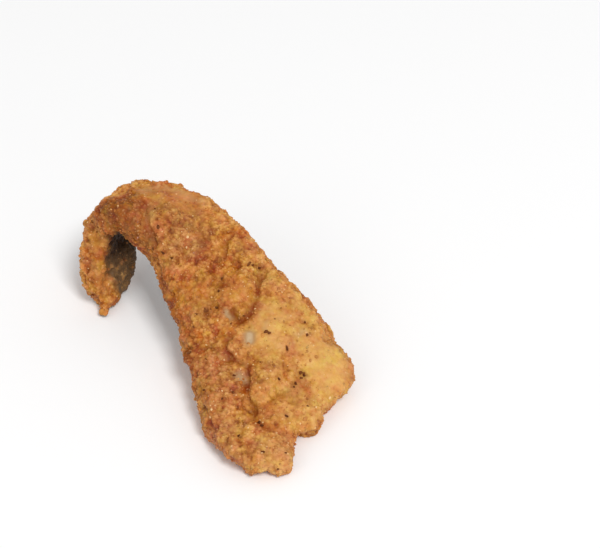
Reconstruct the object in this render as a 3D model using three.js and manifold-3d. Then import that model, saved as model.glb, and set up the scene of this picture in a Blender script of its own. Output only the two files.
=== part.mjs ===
// A fish fillet, breaded in cornmeal and deep fried, that curled as it cooked.
// The broad head end lies on the floor, the body climbs to a ridge, and the narrow tail
// hangs down behind it to the floor, so the fillet stands as an arch.
// Millimetres, +Z up, +X along the fillet from the tail to the head end.
// The origin is the middle of the bounding box, on the floor.

import * as THREE from 'three';
import { mergeVertices } from 'three/addons/utils/BufferGeometryUtils.js';
import Module from 'manifold-3d';

// Cross-sections from the tail to the head end. Each has the two side edges of the
// middle layer, the thickness halfway between them, and how far that middle stands out
// from the line between the edges.
const SECTIONS = [
  { name: 'tail end', near: [-52.5, -38, 1], far: [-66.5, -17, -1], thick: 10, crown: 0 },
  { name: 'tail', near: [-60.3, -39.9, 13.5], far: [-74, -11, 18], thick: 13, crown: 1 },
  { name: 'tail root', near: [-63, -32.5, 38], far: [-79, -6, 37], thick: 16, crown: 2 },
  { name: 'ridge', near: [-55, -28, 48.5], far: [-72, 6, 47], thick: 17, crown: 2 },
  { name: 'fold', near: [-42, -18, 39], far: [-46, 24, 46], thick: 16, crown: 2 },
  { name: 'shoulder', near: [-27, -17, 27], far: [-20, 31, 38], thick: 17, crown: 4 },
  { name: 'upper body', near: [-3, -21, 17], far: [8, 36, 29], thick: 18, crown: 4 },
  { name: 'middle body', near: [24, -27, 10], far: [30, 41, 19], thick: 18, crown: 4 },
  { name: 'lower body', near: [52, -33, 6], far: [44, 43, 9], thick: 15, crown: 3 },
];

// The broad end beyond the last section: how far its edge reaches at evenly spaced
// places from the near side to the far side, which gives its lobes and notches.
const HEAD_REACH = [20, 30, 29, 34, 27, 19, 20, 23, 16, 15, 11, 10, 4];
const HEAD_PINCH = { near: 3.5, far: 3 };
const HEAD_HEIGHT = 4.5;
const HEAD_THICK = 12;

// The rounded rim, the share of the thickness above the middle layer, and the mesh steps.
// The rim steps are the places within a rim, as shares of its width.
const RIM_RADIUS = 5;
const RIM_STEPS = [0, 0.06, 0.24, 0.55];
const UPPER_SHARE = 0.55;
const ROWS = 76;
const COLUMNS = 29;
const COLUMN_RIM = 0.1;
const MERGE_DISTANCE = 1e-4;

// The puffed, craggy breading: how high each size of bump stands, and how wide it is.
const SWELLS = { height: 1.3, width: 24, seed: 11 };
const CRAGS = { height: 2.2, width: 11, seed: 23, level: 0.4 };
const GRIT = { height: 0.9, width: 6, seed: 37 };

// Pads of coating that puffed up: middle, radius, height and how smooth each one is. The
// sharpness says how steeply their sides fall.
const PADS = [
  { name: 'shoulder lobe', middle: [-40, -4, 52], radius: 8, height: 1.1, smooth: 0.1 },
  { name: 'second lobe', middle: [-15, 21, 45], radius: 9, height: 1.1, smooth: 0.3 },
  { name: 'upper lobe', middle: [4, 8, 38], radius: 12, height: 2.4, smooth: 0.3 },
  { name: 'pale patch', middle: [29, 14, 30], radius: 16, height: 0.9, smooth: 0.9 },
  { name: 'right lobe', middle: [51, 28, 17], radius: 14, height: 1.8, smooth: 0.9 },
  { name: 'right middle', middle: [47, 0, 20], radius: 8, height: 1.4, smooth: 0.3 },
  { name: 'lower right', middle: [65, 1, 12], radius: 7, height: 1.1, smooth: 0.3 },
  { name: 'near flank', middle: [44, -23, 18], radius: 10, height: 1.0, smooth: 0.2 },
  { name: 'front flap', middle: [77, -16, 10], radius: 9, height: 1.2, smooth: 0.6 },
  { name: 'small lump', middle: [24, -7, 28], radius: 4.5, height: 1.5, smooth: 0.2 },
];
const PAD_SHARPNESS = 4;

// Seams where the coating split or folded: how deep and wide each is, and its line.
const SEAMS = [
  { name: 'fold crease', depth: 1.6, width: 2.6, line: [[-53, -12, 58], [-45, -14, 54], [-39, -15, 48]] },
  { name: 'curved line', depth: 1.2, width: 2, line: [[-22, 18, 49], [-22, 14, 47], [-15, 10, 44]] },
  { name: 'lobe crack', depth: 2.6, width: 2.2, line: [[1, 21, 40], [9, 13, 36], [13, -2, 32]] },
  { name: 'cross valley', depth: 1.6, width: 2.2, line: [[25, -11, 25], [28, -7, 23], [33, -5, 22]] },
  { name: 'central seam', depth: 2.4, width: 2.2, line: [[33, -5, 22], [41, -9, 20], [50, -13, 18]] },
  { name: 'seam foot', depth: 2.4, width: 2.2, line: [[50, -13, 18], [57, -15, 14]] },
  { name: 'left branch', depth: 1.6, width: 2, line: [[56, -15, 14], [59, -22, 14], [62, -25, 12]] },
  { name: 'right branch', depth: 1.5, width: 2, line: [[53, -12, 15], [54, -3, 16], [53, 2, 17]] },
  { name: 'flap crease', depth: 1.8, width: 2.2, line: [[54, -12, 14], [66, -12, 14], [73, -5, 12]] },
  { name: 'right lobe side', depth: 1.3, width: 2.4, line: [[38, 13, 26], [47, 13, 20], [58, 12, 15]] },
];
const SEAM_SHARPNESS = 2;

// Crumbs that stand out of the coating, placed evenly at random and clear of the floor.
// The shape is the half size of a crumb along its three axes for each unit of radius.
const CRUMB_COUNT = 42;
const CRUMB_TRIES = 4000;
const CRUMB_RADIUS = { largest: 2.7, smallest: 1.6 };
const CRUMB_SHAPE = [1, 0.85, 0.7];
const CRUMB_SPREAD = { least: 0.9, more: 0.3 };
const CRUMB_SPACING = 12;
const CRUMB_FLOOR = 7;
const CRUMB_SEED = 5;

// Three crumbs that show on the outline: the tail's hooked tip, a nub on the tail's
// outer side, and a point on the head end. Each has its half sizes and its turn about Z.
const EDGE_CRUMBS = [
  { name: 'tail tip', middle: [-51.6, -37.4, 2.5], size: [2.8, 2, 1.8], turn: 1.05 },
  { name: 'tail nub', middle: [-72, -33, 41.5], size: [2.8, 2.2, 1.8], turn: 0.3 },
  { name: 'head point', middle: [76.5, -24.5, 4.5], size: [3.8, 2.6, 2.6], turn: 0.2 },
];

// Where a corner broke off, given in the same way.
const BREAKS = [
  { name: 'tail corner', middle: [-56.7, -40.9, 0.5], size: [8, 8, 12], turn: 0.5 },
];

// The block that cuts the fillet flat where it rests on the floor.
const FLOOR_BLOCK = { width: 400, depth: 100 };

const BREADING_COLOUR = 0xb97a40;
const BREADING_ROUGHNESS = 0.75;

const wasm = await Module();
wasm.setup();

// Random numbers from 0 to 1 that are the same on each run.
function seededRandom(seed) {
  let state = seed;
  return () => {
    state = (state + 0x6d2b79f5) | 0;
    let mixed = Math.imul(state ^ (state >>> 15), 1 | state);
    mixed = (mixed + Math.imul(mixed ^ (mixed >>> 7), 61 | mixed)) ^ mixed;
    return ((mixed ^ (mixed >>> 14)) >>> 0) / 4294967296;
  };
}

// One value from -1 to 1 for each corner of a lattice of cubes.
function cornerValue(x, y, z, seed) {
  let hash = Math.imul(x, 374761393) ^ Math.imul(y, 668265263) ^ Math.imul(z, 1442695041);
  hash = Math.imul(hash ^ (hash >>> 13) ^ Math.imul(seed, 974634777), 1274126177);
  hash = Math.imul(hash ^ (hash >>> 16), 1911520717);
  return (((hash ^ (hash >>> 15)) >>> 0) / 4294967295) * 2 - 1;
}

// Smooth noise from -1 to 1, with bumps about one width across.
function noise(point, width, seed) {
  const scaled = point.clone().divideScalar(width);
  const cell = scaled.clone().floor();
  const share = scaled.sub(cell);
  const eased = share.toArray().map((value) => value * value * (3 - 2 * value));
  let sum = 0;
  for (const x of [0, 1]) {
    for (const y of [0, 1]) {
      for (const z of [0, 1]) {
        const weights = [x, y, z].map((side, axis) => (side ? eased[axis] : 1 - eased[axis]));
        const value = cornerValue(cell.x + x, cell.y + y, cell.z + z, seed);
        sum += weights[0] * weights[1] * weights[2] * value;
      }
    }
  }
  return sum;
}

// Rounded bumps with sharp valleys between them, from 0 to 1.
function billow(point, width, seed) {
  return Math.abs(noise(point, width, seed));
}

// The height of a rounded rim, from 0 at the edge to 1 at its radius.
function rim(distance, radius) {
  const inward = 1 - Math.min(Math.max(distance, 0) / radius, 1);
  return Math.sqrt(1 - inward * inward);
}

// A value that changes smoothly through evenly spaced numbers, at a place from 0 to 1.
function through(values, place) {
  const last = values.length - 1;
  const index = Math.min(Math.max(place, 0), 1) * last;
  const low = Math.min(Math.floor(index), last - 1);
  const ease = (1 - Math.cos((index - low) * Math.PI)) / 2;
  return values[low] * (1 - ease) + values[low + 1] * ease;
}

// Places from 0 to 1, closer together within the rims at both ends.
function spread(count, rimShare) {
  const rimPlaces = RIM_STEPS.map((value) => value * rimShare);
  const inner = count - 2 * rimPlaces.length;
  const places = [...rimPlaces];
  for (let i = 0; i < inner; i += 1) {
    places.push(rimShare + ((1 - 2 * rimShare) * i) / (inner - 1));
  }
  return [...places, ...rimPlaces.map((value) => 1 - value).reverse()];
}

// The line along the middle layer at a place from -1, the near edge, to 1, the far edge.
function lineAlong(across) {
  const side = (across + 1) / 2;
  const points = SECTIONS.map(({ near, far }) => (
    new THREE.Vector3(...near).lerp(new THREE.Vector3(...far), side)
  ));
  const end = points[points.length - 1].clone();
  end.x += through(HEAD_REACH, side);
  end.y += HEAD_PINCH.near * (1 - side) ** 2 - HEAD_PINCH.far * side ** 4;
  end.z = HEAD_HEIGHT;
  return new THREE.CatmullRomCurve3([...points, end], false, 'centripetal');
}

// The plain form: an upper and a lower sheet over the middle layer, joined at the rim.
function plainForm() {
  const profile = new THREE.SplineCurve([
    ...SECTIONS.map(({ thick, crown }) => new THREE.Vector2(thick, crown)),
    new THREE.Vector2(HEAD_THICK, 0),
  ]);
  const columns = spread(COLUMNS, COLUMN_RIM).map((place) => place * 2 - 1);
  const spine = lineAlong(0);
  const length = spine.getLength();
  const rows = spread(ROWS, RIM_RADIUS / length);
  const stations = rows.map((place) => spine.getUtoTmapping(place));
  const middle = columns.map((across) => {
    const line = lineAlong(across);
    return stations.map((station) => line.getPoint(station));
  });
  const clamp = (value, count) => Math.min(Math.max(value, 0), count - 1);
  const at = (column, row) => middle[clamp(column, COLUMNS)][clamp(row, ROWS)];

  const upper = [];
  const lower = [];
  for (let row = 0; row < ROWS; row += 1) {
    const width = at(0, row).distanceTo(at(COLUMNS - 1, row));
    const { x: thick, y: crown } = profile.getPoint(stations[row]);
    const ends = rim(rows[row] * length, RIM_RADIUS) * rim((1 - rows[row]) * length, RIM_RADIUS);
    for (let column = 0; column < COLUMNS; column += 1) {
      const along = at(column, row + 1).clone().sub(at(column, row - 1));
      const sideways = at(column + 1, row).clone().sub(at(column - 1, row));
      const outward = along.cross(sideways).normalize();
      const across = columns[column];
      const here = thick * ends * rim(((1 - Math.abs(across)) * width) / 2, RIM_RADIUS);
      const bulge = crown * (1 - across * across);
      upper.push(at(column, row).clone().addScaledVector(outward, bulge + here * UPPER_SHARE));
      lower.push(at(column, row).clone().addScaledVector(outward, bulge - here * (1 - UPPER_SHARE)));
    }
  }

  const faces = [];
  const below = ROWS * COLUMNS;
  for (let row = 0; row < ROWS - 1; row += 1) {
    for (let column = 0; column < COLUMNS - 1; column += 1) {
      const a = row * COLUMNS + column;
      const [b, c, d] = [a + 1, a + COLUMNS, a + COLUMNS + 1];
      faces.push(a, c, b, b, c, d);
      faces.push(below + a, below + b, below + c, below + b, below + d, below + c);
    }
  }
  const geometry = new THREE.BufferGeometry();
  geometry.setAttribute('position', new THREE.Float32BufferAttribute(
    [...upper, ...lower].flatMap((point) => point.toArray()),
    3,
  ));
  geometry.setIndex(faces);
  return mergeVertices(geometry, MERGE_DISTANCE);
}

// How near a point is to something of one radius, from 1 in its middle to 0 well outside.
function nearness(distance, radius, sharpness) {
  return Math.exp(-((distance / radius) ** sharpness));
}

function distanceToLine(point, corners) {
  const nearest = new THREE.Vector3();
  const distances = corners.slice(1).map((corner, index) => {
    const line = new THREE.Line3(new THREE.Vector3(...corners[index]), new THREE.Vector3(...corner));
    line.closestPointToPoint(point, true, nearest);
    return nearest.distanceTo(point);
  });
  return Math.min(...distances);
}

// How far the breading stands out at a point of the plain form.
function relief(point) {
  let roughness = 1;
  let height = SWELLS.height * noise(point, SWELLS.width, SWELLS.seed);
  for (const { middle, radius, height: rise, smooth } of PADS) {
    const inside = nearness(point.distanceTo(new THREE.Vector3(...middle)), radius, PAD_SHARPNESS);
    roughness *= 1 - smooth * inside;
    height += rise * inside;
  }
  height += roughness * CRAGS.height * (billow(point, CRAGS.width, CRAGS.seed) - CRAGS.level);
  height += roughness * GRIT.height * noise(point, GRIT.width, GRIT.seed);
  for (const { line, depth, width } of SEAMS) {
    height -= depth * nearness(distanceToLine(point, line), width, SEAM_SHARPNESS);
  }
  return height;
}

function addRelief(geometry) {
  geometry.computeVertexNormals();
  const { position, normal } = geometry.attributes;
  for (let i = 0; i < position.count; i += 1) {
    const point = new THREE.Vector3().fromBufferAttribute(position, i);
    const outward = new THREE.Vector3().fromBufferAttribute(normal, i);
    const raised = point.clone().addScaledVector(outward, relief(point));
    position.setXYZ(i, raised.x, raised.y, raised.z);
  }
  geometry.deleteAttribute('normal');
  return geometry;
}

function toSolid(geometry) {
  const plain = geometry.clone();
  plain.deleteAttribute('normal');
  plain.deleteAttribute('uv');
  const merged = mergeVertices(plain);
  return new wasm.Manifold(new wasm.Mesh({
    numProp: 3,
    vertProperties: new Float32Array(merged.attributes.position.array),
    triVerts: new Uint32Array(merged.index.array),
  }));
}

function toGeometry(solid) {
  const { vertProperties, triVerts } = solid.getMesh();
  const geometry = new THREE.BufferGeometry();
  geometry.setAttribute('position', new THREE.BufferAttribute(vertProperties, 3));
  geometry.setIndex(new THREE.BufferAttribute(triVerts, 1));
  return geometry;
}

// A crumb is a turned and squashed icosahedron.
function crumb(middle, size, turn) {
  const geometry = new THREE.IcosahedronGeometry(1, 0);
  geometry.scale(...size);
  geometry.applyMatrix4(new THREE.Matrix4().makeRotationFromEuler(turn));
  geometry.translate(...middle);
  return toSolid(geometry);
}

// Places for loose crumbs: vertices of the coating in random order, each kept where no
// crumb is near yet, the smooth pads are left mostly bare, and the largest come first.
function crumbPlaces(geometry) {
  const random = seededRandom(CRUMB_SEED);
  const { position } = geometry.attributes;
  const places = [];
  for (let tries = 0; tries < CRUMB_TRIES && places.length < CRUMB_COUNT; tries += 1) {
    const vertex = Math.floor(random() * position.count);
    const point = new THREE.Vector3().fromBufferAttribute(position, vertex);
    const smoothness = Math.max(...PADS.map(({ middle, radius, smooth }) => (
      smooth * nearness(point.distanceTo(new THREE.Vector3(...middle)), radius, PAD_SHARPNESS)
    )));
    const clear = places.every((place) => place.distanceTo(point) > CRUMB_SPACING);
    if (point.z > CRUMB_FLOOR && clear && random() > smoothness) {
      places.push(point);
    }
  }
  return places;
}

function looseCrumbs(geometry) {
  const random = seededRandom(CRUMB_SEED + 1);
  return crumbPlaces(geometry).map((place, index, all) => {
    const share = index / all.length;
    const radius = THREE.MathUtils.lerp(CRUMB_RADIUS.largest, CRUMB_RADIUS.smallest, share);
    const size = CRUMB_SHAPE.map((part) => (
      radius * part * (CRUMB_SPREAD.least + CRUMB_SPREAD.more * random())
    ));
    const turn = new THREE.Euler(...[0, 0, 0].map(() => random() * Math.PI * 2));
    return crumb(place.toArray(), size, turn);
  });
}

// The floor cuts the solid flat where it rests.
function restOnFloor(solid) {
  const block = new THREE.BoxGeometry(FLOOR_BLOCK.width, FLOOR_BLOCK.width, FLOOR_BLOCK.depth);
  block.translate(0, 0, -FLOOR_BLOCK.depth / 2);
  return solid.subtract(toSolid(block));
}

function centred(geometry) {
  geometry.computeBoundingBox();
  const { min, max } = geometry.boundingBox;
  geometry.translate(-(min.x + max.x) / 2, -(min.y + max.y) / 2, -min.z);
  return geometry;
}

const coating = addRelief(plainForm());
const placed = ({ middle, size, turn }) => crumb(middle, size, new THREE.Euler(0, 0, turn));
const broken = BREAKS.map(placed).reduce((whole, piece) => whole.subtract(piece), toSolid(coating));
const crumbs = [...looseCrumbs(coating), ...EDGE_CRUMBS.map(placed)];
const breaded = crumbs.reduce((whole, piece) => whole.add(piece), broken);

const breading = new THREE.MeshStandardMaterial({
  color: BREADING_COLOUR,
  roughness: BREADING_ROUGHNESS,
  metalness: 0,
});

const fillet = new THREE.Mesh(centred(toGeometry(restOnFloor(breaded))), breading);
fillet.name = 'fillet';

const group = new THREE.Group();
group.add(fillet);

export default group;
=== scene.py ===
"""A fried fish fillet in cornmeal breading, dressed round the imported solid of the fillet.

The crust is a fine skin over the solid. Its relief, and the grit, crumbs and pepper that stick
to it, are made by Geometry Nodes. Lengths are in metres and +Z is up.
"""

import math

import bmesh
import bpy
import numpy as np
from bpy.props import FloatProperty, FloatVectorProperty, IntProperty, PointerProperty
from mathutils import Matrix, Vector, noise
from mathutils.bvhtree import BVHTree


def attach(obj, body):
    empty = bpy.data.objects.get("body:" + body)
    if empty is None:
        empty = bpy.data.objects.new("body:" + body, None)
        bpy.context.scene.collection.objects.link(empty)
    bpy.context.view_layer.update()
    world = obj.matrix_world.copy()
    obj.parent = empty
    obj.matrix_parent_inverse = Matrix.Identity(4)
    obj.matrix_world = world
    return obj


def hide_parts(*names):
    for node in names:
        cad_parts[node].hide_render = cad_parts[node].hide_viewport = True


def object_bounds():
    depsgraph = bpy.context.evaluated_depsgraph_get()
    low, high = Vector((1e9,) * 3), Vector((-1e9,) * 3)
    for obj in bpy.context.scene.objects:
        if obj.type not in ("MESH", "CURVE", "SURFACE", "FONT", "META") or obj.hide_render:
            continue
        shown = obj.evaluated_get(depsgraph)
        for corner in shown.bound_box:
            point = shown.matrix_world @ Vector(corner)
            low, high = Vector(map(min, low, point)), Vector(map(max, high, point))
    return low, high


bl_info = {
    "name": "Fried Fish Fillet",
    "version": (1, 0, 0),
    "blender": (4, 5, 0),
    "location": "View3D > Sidebar > Fillet",
    "description": "Breads a fish fillet in cornmeal and sets it on a pale floor",
    "category": "Object",
}

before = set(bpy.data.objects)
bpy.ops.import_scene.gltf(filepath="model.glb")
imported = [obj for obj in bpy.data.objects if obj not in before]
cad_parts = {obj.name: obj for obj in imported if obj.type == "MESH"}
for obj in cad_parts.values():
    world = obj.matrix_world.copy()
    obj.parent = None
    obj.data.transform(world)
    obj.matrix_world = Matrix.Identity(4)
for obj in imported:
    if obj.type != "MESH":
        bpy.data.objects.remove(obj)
CAD_BOX = [list(corner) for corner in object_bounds()]

MM = 0.001
BODY = "root"
NODE = "fillet"
PICTURE = (600, 548)

# From a light to the fillet.
LIGHT_DISTANCE = 4.0

# How far inside the solid's box the crust stays, so that there is room for grit on it.
GRIT_ROOM = 0.3 * MM

# How high above the floor the lowest grit lies, in millimetres, and the lowest pepper.
GRIT_FROM = 0.6
PEPPER_FROM = 2 * MM

# How near corners of the solid have to be to be joined.
JOINED = 0.001 * MM

# The direction across the tail, from its near side to its far side.
TAIL_ACROSS = np.array((-0.485, 0.874, 0.0))

# From where to where the dark skin, darkened further with painted shade, fades in: towards the
# tail, across it, up from its foot, down from its top, and under the arch. Then from where to where
# down the tail the thin coating on the skin turns paler.
TAIL_FADE = (-0.038, -0.048)
SIDE_FADE = (-1.0 * MM, 3.5 * MM)
FOOT_FADE = (0.0, 0.002)
TOP_FADE = (0.049, 0.044)
ARCH_FADE = (0.0, -0.02)
HIDE_FADE = (0.032, 0.014)

# Over which turns of the surface, as cosines, the skin fades in: towards the head inside the
# tail, and down under the arch.
INNER_TURN = (-0.25, 0.15)
UNDER_TURN = (-0.35, -0.75)

# The crust's settings that its relief takes, by the labels of the relief's inputs.
RELIEF_LABELS = (
    "Clump Width", "Clump Height", "Knob Width", "Knob Height",
    "Granule Width", "Granule Height", "Pit Depth", "Flesh Depth",
)

# Soft patterns in the relief: how the clumps wander, where clumps or knobs stand higher, where
# the granules do, the pits, and the fine grain with its height in millimetres.
DRIFT_WIDTH = 5 * MM
DRIFT = 3 * MM
PATCHY_WIDTH = 9 * MM
EVEN_WIDTH = 6 * MM
PIT_WIDTH = 4.2 * MM
GRAIN_WIDTH = 1.6 * MM
GRAIN_HEIGHT = 0.9

# Soft patterns in the colour: light and dark areas, mottling, redder and yellower areas, faded
# ones, and flecks.
BROAD_WIDTH = 16 * MM
MOTTLE_WIDTH = 4.0 * MM
WARM_WIDTH = 7 * MM
FADED_WIDTH = 5 * MM
FLECK_WIDTH = 0.9 * MM

# How the patches, seams and bare spots waver: the start of the random numbers, how often in a
# metre, and how far, in millimetres.
WAVER_SEED = 7
WAVER_RATE = 180
WAVER = 2.2

# How sharply the patches end. A plain bell has 2.
PATCH_SHARPNESS = 3

# How calm the coating is beside the seams, and how rusty it is round the pepper.
SEAM_CALM = 0.6
PEPPER_RUST = 0.7


def spot(width, *points, **marks):
    """A spot or a line on the fillet: its half width in millimetres, its points, and its marks,
    which say what it does there."""
    return {"width": width * MM, "points": points, **marks}


# Parts of the outline that bend from the solid's, with their middle in millimetres: how far
# they go across the picture, and away from the camera.
BENDS = {
    "foot tip": spot(3.2, (79, -24.8, 1.5), across=-3.2),
    "foot notch": spot(2.8, (79.3, -22.2, 2.6), across=-0.4, away=2.9),
    "foot lobe": spot(3.4, (80, -17.6, 2), away=-2),
    "flap notch": spot(4, (68, -0.3, 2), away=3.8),
    "near edge high": spot(7, (-9, -20.8, 18.5), across=2),
    "near edge middle": spot(5, (13, -25, 10), across=2.6),
    "near edge low": spot(3.4, (20.7, -26.2, 8), across=1.4),
}

# The places below are points of the photograph, across and down. A line of sight from the
# camera carries each one to the crust.

# Seams where the coating split or folded: how deep, in millimetres, and how rusty each is. The rust
# is partly the coating's colour and partly painted shade in the crease.
SEAMS = {
    "fold crease": spot(
        1.2, (144, 204), (146, 212), (146, 221), (147, 228), (152, 236), (154, 244),
        depth=1.3, rust=0.6),
    "shoulder dent": spot(1.2, (200, 236), (203, 249), depth=0.5, rust=0.5),
    "curved line": spot(
        1.1, (233, 234), (226, 240), (225, 250), (226, 258), depth=1.1, rust=0.9),
    "lobe crack": spot(
        1.5, (262, 276), (258, 287), (256, 297), (252, 306), (246, 317), (240, 321), (235, 318),
        (234, 311), depth=1.5, rust=0.9),
    "lobe left side": spot(1, (222, 277), (221, 288), (220, 300), depth=0.6, rust=0.5),
    "lump arc": spot(
        1.4, (230, 333), (226, 339), (225, 345), (226, 351), (231, 356), depth=1.4, rust=1),
    "cross valley": spot(1.4, (230, 358), (238, 361), (246, 366), depth=1, rust=0.7),
    "central seam": spot(
        1.1, (246, 366), (248, 380), (248, 392), (250, 402), (255, 409), (254, 419),
        depth=1.4, rust=0.8),
    "left branch": spot(
        0.9, (253, 417), (245, 421), (241, 428), (240, 437), depth=0.9, rust=0.6),
    "left branch foot": spot(0.9, (248, 440), (249, 451), (250, 461), depth=0.6, rust=0.5),
    "right branch": spot(
        1, (255, 408), (265, 407), (275, 401), (283, 396), depth=0.8, rust=0.4),
    "flap crease": spot(
        1.1, (256, 411), (262, 424), (271, 430), (281, 433), (288, 435), depth=0.9, rust=0.5),
    "right lobe side": spot(
        1.5, (290, 350), (292, 362), (297, 373), (303, 385), depth=0.5, rust=0.15),
}

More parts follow.
